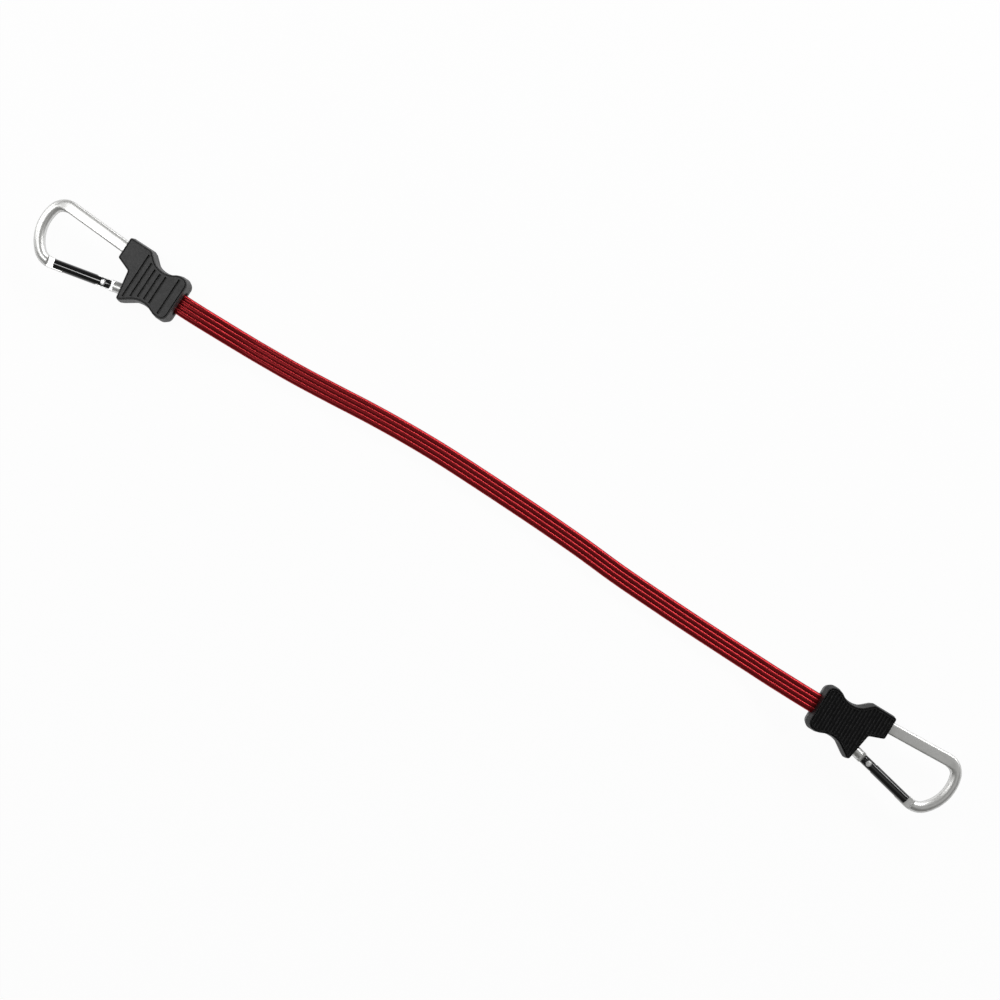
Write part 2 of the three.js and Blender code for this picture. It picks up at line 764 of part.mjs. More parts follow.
function strandCircle(place, radius) {
  return Array.from({ length: strandSides }, (unused, i) => {
    return pointFrom(new THREE.Vector2(place, 0), (i + 0.5) * 2 * Math.PI / strandSides, radius);
  });
}

// Ribs side by side: each shows an arc above and below, and the outer two close the edges
function strapSheath() {
  const ribArc = (place, fromAngle, toAngle) => Array.from({ length: ribArcSteps + 1 }, (unused, i) => {
    const angle = THREE.MathUtils.lerp(fromAngle, toAngle, i / ribArcSteps);
    return pointFrom(new THREE.Vector2(place, 0), angle, ribRadius);
  });
  const leftmost = strandPlaces[0];
  const rightmost = strandPlaces.at(-1);
  const outline = [
    ...strandPlaces.flatMap((place) => ribArc(place, ribFlank - Math.PI, -ribFlank)),
    ...ribArc(rightmost, -ribFlank, ribFlank).slice(1, -1),
    ...strandPlaces.toReversed().flatMap((place) => ribArc(place, ribFlank, Math.PI - ribFlank)),
    ...ribArc(leftmost, Math.PI - ribFlank, Math.PI + ribFlank).slice(1, -1),
  ];
  const bores = strandPlaces.map((place) => strandCircle(place, boreRadius).reverse());
  return strapSkin(outline, bores);
}

function hookEnd(suffix) {
  const end = new THREE.Group();
  end.add(
    namedMesh(`carabiner_frame_${suffix}`, carabinerFrame(), 'aluminium'),
    namedMesh(`housing_front_shell_${suffix}`, housingShell(-1), 'blackPlastic'),
    namedMesh(`housing_back_shell_${suffix}`, housingShell(1), 'blackPlastic'),
    namedMesh(`strap_crimp_${suffix}`, strapCrimp(), 'steel'),
    namedMesh(`strap_end_loop_${suffix}`, strapEndLoop(), 'sheath'),
  );
  const gateGroup = new THREE.Group();
  gateGroup.position.set(pivot.x, pivot.y, 0);
  gateGroup.rotation.z = gateAngle;
  gateGroup.add(
    namedMesh(`gate_${suffix}`, gate(), 'blackAnodised'),
    namedMesh(`gate_pivot_rivet_${suffix}`, gateRivet(), 'steel'),
    namedMesh(`gate_spring_${suffix}`, gateSpring(), 'steel'),
    namedMesh(`gate_plunger_${suffix}`, gatePlunger(), 'steel'),
  );
  end.add(gateGroup);
  return end;
}

const bungeeCord = new THREE.Group();

// Each end sits square on the strap, with its mouth one tuck from the strap's end
const [leftEndPoint, leftMouth] = strapRoute;
const rightEndPoint = strapRoute.at(-1);
const rightMouth = strapRoute.at(-2);

function headingFrom(start, end) {
  return Math.atan2(end.y - start.y, end.x - start.x);
}

const leftEnd = hookEnd('left');
leftEnd.position.copy(leftMouth);
leftEnd.rotation.set(0, Math.PI, headingFrom(leftEndPoint, leftMouth), 'ZYX');

const rightEnd = hookEnd('right');
rightEnd.position.copy(rightMouth);
rightEnd.rotation.z = headingFrom(rightMouth, rightEndPoint);

bungeeCord.add(leftEnd, rightEnd, namedMesh('strap_sheath', strapSheath(), 'sheath'));
strandPlaces.forEach((place, i) => {
  const strand = strapSkin(strandCircle(place, strandDiameter / 2));
  bungeeCord.add(namedMesh(`rubber_strand_${i + 1}`, strand, 'rubber'));
});

export default bungeeCord;
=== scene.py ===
import json
import math

import bpy
from mathutils import Matrix, Vector


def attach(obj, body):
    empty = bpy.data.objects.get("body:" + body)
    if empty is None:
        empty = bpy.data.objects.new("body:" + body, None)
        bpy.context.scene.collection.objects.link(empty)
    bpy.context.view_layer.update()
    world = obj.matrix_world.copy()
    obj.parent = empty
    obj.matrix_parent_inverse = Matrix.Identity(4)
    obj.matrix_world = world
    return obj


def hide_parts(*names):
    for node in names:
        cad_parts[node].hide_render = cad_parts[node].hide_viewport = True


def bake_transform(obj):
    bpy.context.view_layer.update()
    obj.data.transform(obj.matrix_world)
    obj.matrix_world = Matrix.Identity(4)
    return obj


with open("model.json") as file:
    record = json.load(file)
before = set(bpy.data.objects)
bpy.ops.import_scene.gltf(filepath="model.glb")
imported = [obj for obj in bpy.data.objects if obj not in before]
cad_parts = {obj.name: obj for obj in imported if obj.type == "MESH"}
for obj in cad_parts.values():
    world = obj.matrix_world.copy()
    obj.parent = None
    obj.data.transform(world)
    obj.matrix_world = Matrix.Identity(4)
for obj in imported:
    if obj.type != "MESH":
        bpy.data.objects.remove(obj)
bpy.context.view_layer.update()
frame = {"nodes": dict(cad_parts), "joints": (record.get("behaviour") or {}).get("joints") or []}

mm = 0.001
tiny = 0.01 * mm
quarter = math.pi / 2


# small helpers for working as by hand

def leaveEdit():
    bpy.ops.object.mode_set(mode="OBJECT")


def dropSelection():
    if bpy.context.mode != "OBJECT":
        leaveEdit()
    bpy.ops.object.select_all(action="DESELECT")


def workOn(piece):
    dropSelection()
    piece.select_set(True)
    bpy.context.view_layer.objects.active = piece


def settle(name):
    piece = bpy.context.object
    piece.name = name
    piece.data.name = name
    bpy.ops.object.transform_apply(location=True, rotation=True, scale=True)
    return piece


# leaves the piece in edit mode with only what passes the test selected
def pick(piece, kind, test):
    workOn(piece)
    bpy.ops.object.mode_set(mode="EDIT")
    bpy.ops.mesh.select_mode(type=kind)
    bpy.ops.mesh.select_all(action="DESELECT")
    leaveEdit()
    mesh = piece.data
    found = {"VERT": mesh.vertices, "EDGE": mesh.edges, "FACE": mesh.polygons}[kind]
    for part in found:
        part.select = test(part)
    bpy.ops.object.mode_set(mode="EDIT")


def editAll(piece):
    workOn(piece)
    bpy.ops.object.mode_set(mode="EDIT")
    bpy.ops.mesh.select_all(action="SELECT")


def edgeEnds(piece, edge):
    return [piece.data.vertices[i].co for i in edge.vertices]


# how far an edge runs along x
def runAlong(piece, edge):
    start, end = edgeEnds(piece, edge)
    return abs(start.x - end.x)


def applyModifier(piece, kind, **settings):
    workOn(piece)
    modifier = piece.modifiers.new(kind, kind)
    for setting, value in settings.items():
        setattr(modifier, setting, value)
    bpy.ops.object.modifier_apply(modifier=modifier.name)


def cutAway(piece, cutter):
    applyModifier(piece, "BOOLEAN", operation="DIFFERENCE", solver="EXACT", object=cutter)
    bpy.data.objects.remove(cutter)


def boxCutter(xs, ys, zs, place=Matrix()):
    dropSelection()
    bpy.ops.mesh.primitive_cube_add(size=1)
    spans = [Vector(span) for span in (xs, ys, zs)]
    bpy.context.object.scale = [span[1] - span[0] for span in spans]
    bpy.context.object.location = [(span[0] + span[1]) / 2 for span in spans]
    cutter = settle("cutter")
    cutter.data.transform(place)
    return cutter


def postCutter(x, y, radius, zs, sides=32):
    dropSelection()
    middle = (zs[0] + zs[1]) / 2
    bpy.ops.mesh.primitive_cylinder_add(
        vertices=sides, radius=radius, depth=zs[1] - zs[0], location=(x, y, middle))
    return settle("cutter")


def faceOutwards(piece):
    editAll(piece)
    bpy.ops.mesh.normals_make_consistent(inside=False)
    leaveEdit()


def shadeSmooth(piece, limit):
    workOn(piece)
    bpy.ops.object.shade_smooth_by_angle(angle=math.radians(limit))


# rounds the edges left by cuts, then shades with the large faces kept flat
def softenEdges(piece, width, segments=2, limit=35):
    applyModifier(piece, "BEVEL", width=width, segments=segments, limit_method="ANGLE",
                  angle_limit=math.radians(limit), use_clamp_overlap=True)
    shadeSmooth(piece, limit)
    applyModifier(piece, "WEIGHTED_NORMAL", keep_sharp=True, weight=80)


def along(angle):
    return Vector((math.cos(angle), math.sin(angle), 0))


def headingOf(vector):
    return math.atan2(vector.y, vector.x)


# camera: straight down, turned so that the cord runs from upper left to lower right
cameraView = {
    "over": (-0.05 * mm, 5.26 * mm),
    "height": 883 * mm,
    "hookHeight": 8 * mm,
    "halfWidthSeen": 282.65 * mm,
    "turn": math.radians(30.2),
}


def addCamera():
    x, y = cameraView["over"]
    bpy.ops.object.camera_add(location=(x, y, cameraView["height"]),
                              rotation=(0, 0, cameraView["turn"]))
    camera = bpy.context.object
    rise = cameraView["height"] - cameraView["hookHeight"]
    camera.data.angle = 2 * math.atan(cameraView["halfWidthSeen"] / rise)
    bpy.context.scene.camera = camera
    print("camera set", round(math.degrees(camera.data.angle), 1), "degrees wide")


addCamera()


# strap: four ribs side by side, along its middle line as it lies
strap = {
    "ribs": 4,
    "pitch": 2.72 * mm,
    "ribHalfWidth": 1.9 * mm,
    "ribHalfHeight": 1.7 * mm,
    "flankGap": math.radians(1),  # keeps neighbouring ribs from crossing
    "outerSpan": 0.8,             # of the flank that the outer sides cover
    # painted shade: how much darker the strap's outer sides are painted
    "paintedOuterShade": 0.25,          # how dark the outer sides are beside the grooves
    "smoothLimit": 50,
    "ringStep": 1.5 * mm,
    "arcSteps": 10,
    "route": [
        (-0.21585, 0.01018, 0.008), (-0.21185, 0.00996, 0.008), (-0.20685, 0.00968, 0.00795),
        (-0.19815, 0.00936, 0.0072), (-0.18915, 0.00916, 0.0055), (-0.18015, 0.00896, 0.0036),
        (-0.17115, 0.00883, 0.0022), (-0.16115, 0.00871, 0.0017), (-0.13715, 0.00886, 0.0017),
        (-0.11315, 0.00971, 0.0017), (-0.08915, 0.01086, 0.0017), (-0.06515, 0.01136, 0.0017),
        (-0.04115, 0.01106, 0.0017), (-0.01715, 0.00996, 0.0017), (0.00685, 0.00861, 0.0017),
        (0.03085, 0.00706, 0.0017), (0.05485, 0.00511, 0.0017), (0.07885, 0.00261, 0.0017),
        (0.10285, 0.00086, 0.0017), (0.12685, -0.00064, 0.0017), (0.14885, -0.00179, 0.0017),
        (0.16185, -0.00244, 0.0017), (0.17185, -0.00289, 0.0022), (0.18085, -0.00334, 0.0036),
        (0.18985, -0.00366, 0.0055), (0.19885, -0.00394, 0.0072), (0.20685, -0.00413, 0.00795),
        (0.21185, -0.00424, 0.008), (0.21585, -0.00433, 0.008),
    ],
}
route = [Vector(point) for point in strap["route"]]
leftMouth = route[1]
rightMouth = route[-2]


# smooth line through the route, with a point about every step
def smoothLine(points, step):
    line = []
    for i in range(len(points) - 1):
        before = points[max(i - 1, 0)]
        start, end = points[i], points[i + 1]
        after = points[min(i + 2, len(points) - 1)]
        count = max(1, round((end - start).length / step))
        for k in range(count):
            t = k / count
            pull = (end - before) / 2
            push = (after - start) / 2
            bulge = 2 * start - 2 * end + pull + push
            sweep = 3 * end - 3 * start - 2 * pull - push
            line.append(start + pull * t + sweep * t ** 2 + bulge * t ** 3)
    line.append(points[-1].copy())
    return line


# section points (across, up, painted shade): the painted shade is 0 on the crests, grows towards the
# grooves between the ribs, and is weaker on the outer sides
def ribSection(pitch, halfWidth, halfHeight):
    steps, ribs = strap["arcSteps"], strap["ribs"]
    flank = math.acos(pitch / 2 / halfWidth) + strap["flankGap"]
    places = [(i - (ribs - 1) / 2) * pitch for i in range(ribs)]
    outer = flank * strap["outerSpan"]
    points = []

    def arc(place, start, end, between):
        for k in range(steps + 1):
            angle = start + (end - start) * k / steps
            # painted shade: this value darkens the sheath's colour, fully between the ribs and less on
            # the outer sides
            depth = (1 - abs(math.sin(angle))) * (1 if between else strap["paintedOuterShade"])
            points.append((place + halfWidth * math.cos(angle),
                           halfHeight * math.sin(angle), depth))

    for place in places:
        arc(place, flank - math.pi, -flank, True)
    # the outer side gets a weaker share of the painted shade
    arc(places[-1], -outer, outer, False)
    for place in reversed(places):
        arc(place, flank, math.pi - flank, True)
    arc(places[0], math.pi - outer, math.pi + outer, False)
    return points


# sweeps the ribbed section along a line, with a UV map in metres for the weave and an attribute that
# places painted shade in the grooves
def sweepRibs(name, line, section, across=None):
    ring = len(section)
    around = [0.0]
    for i in range(ring):
        a, b = section[i], section[(i + 1) % ring]
        around.append(around[-1] + math.hypot(b[0] - a[0], b[1] - a[1]))
    verts, grooves, lengths = [], [], [0.0]
    for i, point in enumerate(line):
        before, after = line[max(i - 1, 0)], line[min(i + 1, len(line) - 1)]
        ahead = (after - before).normalized()
        side = across or Vector((-ahead.y, ahead.x, 0)).normalized()
        up = ahead.cross(side)
        verts += [point + side * x + up * y for x, y, paintedShade in section]
        grooves += [paintedShade for x, y, paintedShade in section]
        if i:
            lengths.append(lengths[-1] + (point - line[i - 1]).length)
    faces, wraps = [], []
    for i in range(len(line) - 1):
        for k in range(ring):
            a, b = i * ring + k, i * ring + (k + 1) % ring
            faces.append((a, a + ring, b + ring, b))
            u0, u1, v0, v1 = lengths[i], lengths[i + 1], around[k], around[k + 1]
            wraps += [(u0, v0), (u1, v0), (u1, v1), (u0, v1)]
    for start, turned in ((0, False), ((len(line) - 1) * ring, True)):
        cap = [start + k for k in range(ring)]
        faces.append(cap if not turned else cap[::-1])
        wraps += [(lengths[0 if not turned else -1], 0.0)] * ring
    mesh = bpy.data.meshes.new(name)
    mesh.from_pydata(verts, [], faces)
    uv = mesh.uv_layers.new(name="weave")
    for loop, wrap in zip(uv.data, wraps):
        loop.uv = wrap
    # the painted shade for the sheath's colour, one value per point
    paintedShade = mesh.attributes.new("paintedShade", "FLOAT", "POINT")
    paintedShade.data.foreach_set("value", grooves)
    piece = bpy.data.objects.new(name, mesh)
    bpy.context.scene.collection.objects.link(piece)
    faceOutwards(piece)
    shadeSmooth(piece, strap["smoothLimit"])
    return piece, lengths[-1]


def weaveStrap():
    line = smoothLine(route, strap["ringStep"])
    section = ribSection(strap["pitch"], strap["ribHalfWidth"], strap["ribHalfHeight"])
    piece, length = sweepRibs("ribbed_strap", line, section)
    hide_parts("strap_sheath", *[f"rubber_strand_{i + 1}" for i in range(strap["ribs"])])
    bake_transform(piece)
    print("strap woven,", round(length, 4), "m long,", len(piece.data.polygons), "faces")
    return piece


ribbedStrap = weaveStrap()


# each end is modelled once in its own frame: from the strap's mouth, +x to the hook,
# +y to the spine, +z to the back face; the left end lies front up and the right end back up
endPlaces = {
    "left": (Matrix.Translation(leftMouth)
             @ Matrix.Rotation(headingOf(leftMouth - route[0]), 4, "Z")
             @ Matrix.Rotation(math.pi, 4, "Y")),
    "right": (Matrix.Translation(rightMouth)
              @ Matrix.Rotation(headingOf(route[-1] - rightMouth), 4, "Z")),
}


def jointPlace(name):
    joint = next(joint for joint in frame["joints"] if joint["name"] == name)
    return Vector(joint["pos_m"])


pivot = endPlaces["right"].inverted() @ jointPlace("right_gate_swing")
pivot.z = 0


def copyTo(side, master):
    copy = master.copy()
    copy.data = master.data.copy()
    copy.name = f"{master.name}_{side}"
    copy.data.name = copy.name
    bpy.context.scene.collection.objects.link(copy)
    copy.data.transform(endPlaces[side])
    return copy


def putCopies(master, node, body):
    copies = []
    for side in endPlaces:
        copy = copyTo(side, master)
        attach(copy, f"{side}_{body}")
        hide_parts(f"{node}_{side}")
        copies.append(copy)
    bpy.data.objects.remove(master)
    print("placed", [copy.name for copy in copies], len(copies[0].data.polygons), "faces each")
    return copies


# hook frame: one bent rod, pressed flat along its spine, with milled ends
hook = {
    "diameter": 6.4 * mm,
    "sides": 48,
    "neckEnd": 42.5 * mm,
    "spineOffset": 10.1 * mm,
    "spineRise": math.radians(2.6),
    "spineWidth": 7.2 * mm,
    "spineThickness": 5 * mm,
    "spineSquare": (3.6, 8),    # outer and inner edge: 2 is an ellipse, and more is squarer
    "pressFades": (0.1, 0.85),  # along the top bend
    "flatRun": 4 * mm,
    "reach": 50.8 * mm,
    "topBend": (8.6 * mm, math.radians(77.6), 28),
    "bow": (24 * mm, math.radians(60), 30),
    "noseBend": (10 * mm, 24),
    "bar": 24.5 * mm,
    "barBend": (5 * mm, 12),
    "bladeReach": 3.4 * mm,
    "bladeWidth": 5.4 * mm,
    "bladeThickness": 2.6 * mm,
    "tangShoulder": 6.2 * mm,
    "noseStraight": 2 * mm,
    "noseFlat": 4.2 * mm,
    "tongueLength": 5.6 * mm,
    "tongueInnerEdge": 1.2 * mm,
    "fitGap": 0.3 * mm,
    "edgeRound": 0.18 * mm,
    "pressReach": 1.3,          # times the rod's radius
}

spineRise = hook["spineRise"]
topRadius, topAngle, topSteps = hook["topBend"]
bowRadius, bowAngle, bowSteps = hook["bow"]
noseRadius, noseSteps = hook["noseBend"]
barRadius, barSteps = hook["barBend"]
rodRadius = hook["diameter"] / 2
topHeading = spineRise - topAngle
bowHeading = topHeading - bowAngle


def spineAt(x):
    return Vector((x, hook["spineOffset"] + (x - hook["neckEnd"]) * math.tan(spineRise), 0))


topSpan = (along(spineRise - quarter) + along(topHeading + quarter)) * topRadius
bowBack = along(topHeading - quarter) * bowRadius
topStart = spineAt(hook["neckEnd"] + hook["reach"] - rodRadius - bowRadius - bowBack.x - topSpan.x)
topCentre = topStart + along(spineRise - quarter) * topRadius
bowCentre = topStart + topSpan + bowBack
noseCentre = bowCentre + along(bowHeading + quarter) * (bowRadius - noseRadius)
toPivot = pivot - noseCentre
noseTouch = headingOf(toPivot) + math.acos(noseRadius / toPivot.length)
nosePoint = noseCentre + along(noseTouch) * noseRadius
gateAngle = headingOf(nosePoint - pivot)
gateReach = (nosePoint - pivot).length - hook["noseStraight"]
tongueEnd = gateReach - hook["tongueLength"]
gatePlace = Matrix.Translation(pivot) @ Matrix.Rotation(gateAngle, 4, "Z")


# a clockwise bend at the corner where two straight runs would cross
def cornerBend(corner, fromHeading, toHeading):
    turn = (fromHeading - toHeading) % (2 * math.pi)
    start = corner - along(fromHeading) * barRadius * math.tan(turn / 2)
    return {"centre": start + along(fromHeading - quarter) * barRadius, "radius": barRadius,
            "heading": fromHeading, "turn": turn, "steps": barSteps}


tangCorner = pivot + along(gateAngle) * ((hook["bar"] - pivot.x) / math.cos(gateAngle))
barFoot = cornerBend(tangCorner, gateAngle + math.pi, quarter)
barHead = cornerBend(spineAt(hook["bar"]), quarter, spineRise)
spineStart = barHead["centre"] + along(spineRise + quarter) * barRadius
rodBends = [
    barFoot,
    barHead,
    {"centre": topCentre, "radius": topRadius, "heading": spineRise, "turn": topAngle,
     "steps": topSteps, "stop": spineStart + along(spineRise) * hook["flatRun"]},
    {"centre": bowCentre, "radius": bowRadius, "heading": topHeading, "turn": bowAngle,
     "steps": bowSteps},
    {"centre": noseCentre, "radius": noseRadius, "heading": bowHeading,
     "turn": (bowHeading - (noseTouch - quarter)) % (2 * math.pi), "steps": noseSteps},
]


# strap end: pressed thinner, it goes round the hook's bar and back through the crimp
endLoop = {
    "pitch": 2.2 * mm,
    "ribRadius": 1.2 * mm,
    "start": 4.3 * mm,
    "crimp": (9 * mm, 17 * mm),
    "legGap": 0.15 * mm,
    "tail": 0.8 * mm,
    "bendSteps": 28,
}


def foldStrapEnd():
    thick = endLoop["ribRadius"]
    radius = rodRadius + hook["fitGap"] + thick
    height = endLoop["legGap"] + thick
    crimpStart, crimpEnd = endLoop["crimp"]
    bar = hook["bar"]
    away = Vector((crimpEnd - bar, height, 0))
    touch = headingOf(away) - math.acos(radius / away.length)
    steps = endLoop["bendSteps"]
    turns = [touch * (1 - 2 * i / steps) for i in range(steps + 1)]
    line = [(endLoop["start"], 0), (crimpStart, height), (crimpEnd, height)]
    line += [(bar + radius * math.cos(turn), radius * math.sin(turn)) for turn in turns]
    line += [(crimpEnd, -height), (crimpStart - endLoop["tail"], -height)]
    points = [Vector((x, 0, z)) for x, z in line]
    section = ribSection(endLoop["pitch"], thick, thick)
    return sweepRibs("folded_strap_end", points, section, across=Vector((0, 1, 0)))[0]


def extrudeTo(here, there):
    if (there - here).length > tiny:
        bpy.ops.mesh.extrude_region_move(TRANSFORM_OT_translate={"value": there - here})
    return there


# how much of the spine's press reaches a point, and its middle line and side there
def spinePress(point):
    run = (point - spineStart).dot(along(spineRise))
    offset = (point - spineStart).dot(along(spineRise + quarter))
    length = (topStart - spineStart).dot(along(spineRise))
    reach = hook["pressReach"] * rodRadius
    if -tiny <= run <= length + tiny and abs(offset) < reach:
        share = max(0, min(1, run / hook["flatRun"]))
        middle = spineStart + along(spineRise) * run
        return share, middle, along(spineRise + quarter)
    spoke = Vector((point.x, point.y, 0)) - topCentre
    turned = (spineRise + quarter - headingOf(spoke)) / topAngle
    first, last = hook["pressFades"]
    if 0 <= turned <= last and abs(spoke.length - topRadius) < reach:
        share = 1 - max(0, turned - first) / (last - first)
        side = spoke.normalized()
        return share * share * (3 - 2 * share), topCentre + side * topRadius, side
    return 0, point, spoke


def rounded(value, power):
    return math.copysign(abs(value) ** power, value)


def bendRod(name, extra):
    dropSelection()
    at = pivot + along(gateAngle) * hook["bladeReach"]
    bpy.ops.mesh.primitive_circle_add(vertices=hook["sides"], radius=rodRadius, location=at,
                                      rotation=(0, quarter, gateAngle + math.pi))
    rod = settle(name)
    pick(rod, "VERT", lambda vertex: True)
    for bend in rodBends:
        if "stop" in bend:
            at = extrudeTo(at, bend["stop"])
        at = extrudeTo(at, bend["centre"] + along(bend["heading"] + quarter) * bend["radius"])
        bpy.ops.mesh.spin(steps=bend["steps"], angle=bend["turn"], center=bend["centre"],
                          axis=(0, 0, 1))
        at = bend["centre"] + along(bend["heading"] - bend["turn"] + quarter) * bend["radius"]
    extrudeTo(at, pivot + along(gateAngle) * tongueEnd)
    bpy.ops.mesh.select_all(action="SELECT")
    bpy.ops.mesh.fill_holes(sides=0)
    leaveEdit()
    for vertex in rod.data.vertices:
        share, middle, side = spinePress(vertex.co)
        if share > 0:
            offset = (vertex.co - middle).dot(side) / rodRadius
            square = hook["spineSquare"][0 if offset > 0 else 1]
            power = 1 + share * (2 / square - 1)
            wide = rodRadius + share * (hook["spineWidth"] / 2 - rodRadius)
            high = rodRadius + share * (hook["spineThickness"] / 2 - rodRadius)
            height = vertex.co.z / rodRadius
            vertex.co = middle + side * rounded(offset, power) * wide
            vertex.co.z = rounded(height, power) * high
    faceOutwards(rod)
    if extra:
        pick(rod, "VERT", lambda vertex: True)
        bpy.ops.transform.shrink_fatten(value=extra)
        leaveEdit()
    return rod


def millRod(rod):
    far = hook["diameter"]
    gap = hook["fitGap"]
    blade, width = hook["bladeThickness"] / 2, hook["bladeWidth"] / 2
    tang = (-hook["tangShoulder"], hook["bladeReach"] + mm)
    nose = (tongueEnd - mm, gateReach + hook["noseFlat"])
    for low, high in ((blade, far), (-far, -blade)):
        cutAway(rod, boxCutter(tang, (-far, far), (low, high), gatePlace))
        cutAway(rod, boxCutter(nose, (-far, far), (low, high), gatePlace))
    heel = (-gate["heel"] - gap, hook["bladeReach"] + mm)
    for low, high in ((width, far), (-far, -width)):
        cutAway(rod, boxCutter(heel, (low, high), (-far, far), gatePlace))
    tongue = (tongueEnd - mm, gateReach + gap)
    cutAway(rod, boxCutter(tongue, (hook["tongueInnerEdge"], far), (-far, far), gatePlace))
    cutAway(rod, postCutter(pivot.x, pivot.y, gate["rivet"] / 2 + gap, (-far, far)))


# gate: a turned barrel with a fork over the pivot blade and a slot for the nose
gate = {
    "diameter": 5.9 * mm,
    "sides": 48,
    "heel": 4 * mm,
    "endRound": (0.45 * mm, 4),        # radius and segments
    "forkDepth": 4.8 * mm,
    "boreDepth": 13 * mm,
    "rivet": 2.2 * mm,
    "rivetHead": 2.8 * mm,
    "rivetHeadHeight": 0.5 * mm,
    "rivetStand": 0.15 * mm,
    "rivetRound": (0.45 * mm, 6),      # radius and segments
    "rivetSides": 40,
    "rivetSmoothLimit": 40,
    "springDiameter": 2.6 * mm,
    "springWire": 0.45 * mm,
    "springTurns": 8,
    "springSteps": (10, 20),           # round the wire and round a turn
    "springSmoothLimit": 50,
    "boreSides": 32,
    "plungerHead": 2.2 * mm,
    "edgeRound": 0.1 * mm,
}


def turnGate():
    radius, heel, gap = gate["diameter"] / 2, gate["heel"], hook["fitGap"]
    far = gate["diameter"]
    slot = hook["bladeThickness"] / 2 + gap
    dropSelection()
    bpy.ops.mesh.primitive_cylinder_add(
        vertices=gate["sides"], radius=radius, depth=gateReach + heel,
        location=((gateReach - heel) / 2, 0, 0), rotation=(0, quarter, 0))
    barrel = settle("hook_gate")
    endRound, endSegments = gate["endRound"]
    pick(barrel, "EDGE", lambda edge: runAlong(barrel, edge) < 0.1 * mm)
    bpy.ops.mesh.bevel(offset=endRound, segments=endSegments, affect="EDGES")
    leaveEdit()
    cutAway(barrel, boxCutter((-heel - mm, gate["forkDepth"]), (-far, far), (-slot, slot)))
    nose = (tongueEnd - 2 * gap, gateReach + mm)
    cutAway(barrel, boxCutter(nose, (-far, hook["tongueInnerEdge"] + gap), (-slot, slot)))
    dropSelection()
    bore = gate["springDiameter"] / 2 + gap
    start, end = gate["forkDepth"] - mm, gate["forkDepth"] + gate["boreDepth"]
    bpy.ops.mesh.primitive_cylinder_add(
        vertices=gate["boreSides"], radius=bore, depth=end - start,
        location=((start + end) / 2, 0, 0), rotation=(0, quarter, 0))
    cutAway(barrel, settle("cutter"))
    cutAway(barrel, postCutter(0, 0, gate["rivet"] / 2 + gap, (-far, far)))
    seat = radius + gate["rivetStand"] - gate["rivetHeadHeight"] - gap
    for zs in ((seat, far), (-far, -seat)):
        cutAway(barrel, postCutter(0, 0, gate["rivetHead"] / 2 + gap, zs))
    softenEdges(barrel, gate["edgeRound"])
    barrel.data.transform(gatePlace)
    return barrel


# rivet: a shank with a low domed head over each cheek
def headRivet():
    top = gate["diameter"] / 2 + gate["rivetStand"]
    under = top - gate["rivetHeadHeight"]
    spread = gate["rivetHead"] / gate["rivet"]
    headRound, headSegments = gate["rivetRound"]
    dropSelection()
    bpy.ops.mesh.primitive_cylinder_add(vertices=gate["rivetSides"], radius=gate["rivet"] / 2,
                                        depth=2 * under)
    rivet = settle("gate_pivot_rivet_head")
    for side in (1, -1):
        pick(rivet, "FACE", lambda face: face.normal.z * side > 0.9)
        bpy.ops.mesh.extrude_region_move()
        bpy.ops.transform.resize(value=(spread, spread, 1))
        bpy.ops.mesh.extrude_region_move(
            TRANSFORM_OT_translate={"value": (0, 0, side * gate["rivetHeadHeight"])})
        bpy.ops.mesh.bevel(offset=headRound, segments=headSegments, affect="EDGES")
        leaveEdit()
    shadeSmooth(rivet, gate["rivetSmoothLimit"])
    rivet.data.transform(gatePlace)
    return rivet


# coil spring in the gate's bore, from its floor to the plunger's shoulder
def coilSpring():
    wire, turns, gap = gate["springWire"] / 2, gate["springTurns"], hook["fitGap"]
    wireSides, turnSteps = gate["springSteps"]
    shoulder = hook["bladeReach"] + gap + gate["plungerHead"]
    first = shoulder + gap + wire
    last = gate["forkDepth"] + gate["boreDepth"] - gap - wire
    dropSelection()
    bpy.ops.mesh.primitive_circle_add(vertices=wireSides, radius=wire,
                                      location=(first, gate["springDiameter"] / 2 - wire, 0))
    spring = settle("gate_coil_spring")
    applyModifier(spring, "SCREW", axis="X", angle=2 * math.pi, steps=turnSteps,
                  render_steps=turnSteps, iterations=turns, screw_offset=(last - first) / turns)
    editAll(spring)
    bpy.ops.mesh.remove_doubles(threshold=tiny / 2)
    bpy.ops.mesh.fill_holes(sides=0)
    leaveEdit()
    faceOutwards(spring)
    shadeSmooth(spring, gate["springSmoothLimit"])
    spring.data.transform(gatePlace)
    return spring, gatePlace @ Vector((last, 0, 0)), gatePlace @ Vector((first, 0, 0))


def putSprings():
    spring, floor, shoulder = coilSpring()
    copies = []
    for side, place in endPlaces.items():
        copy = copyTo(side, spring)
        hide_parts(f"gate_spring_{side}")
        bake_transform(copy)
        copies.append(copy)
    bpy.data.objects.remove(spring)
    print("springs wound", len(copies[0].data.polygons), "faces each")
    return copies


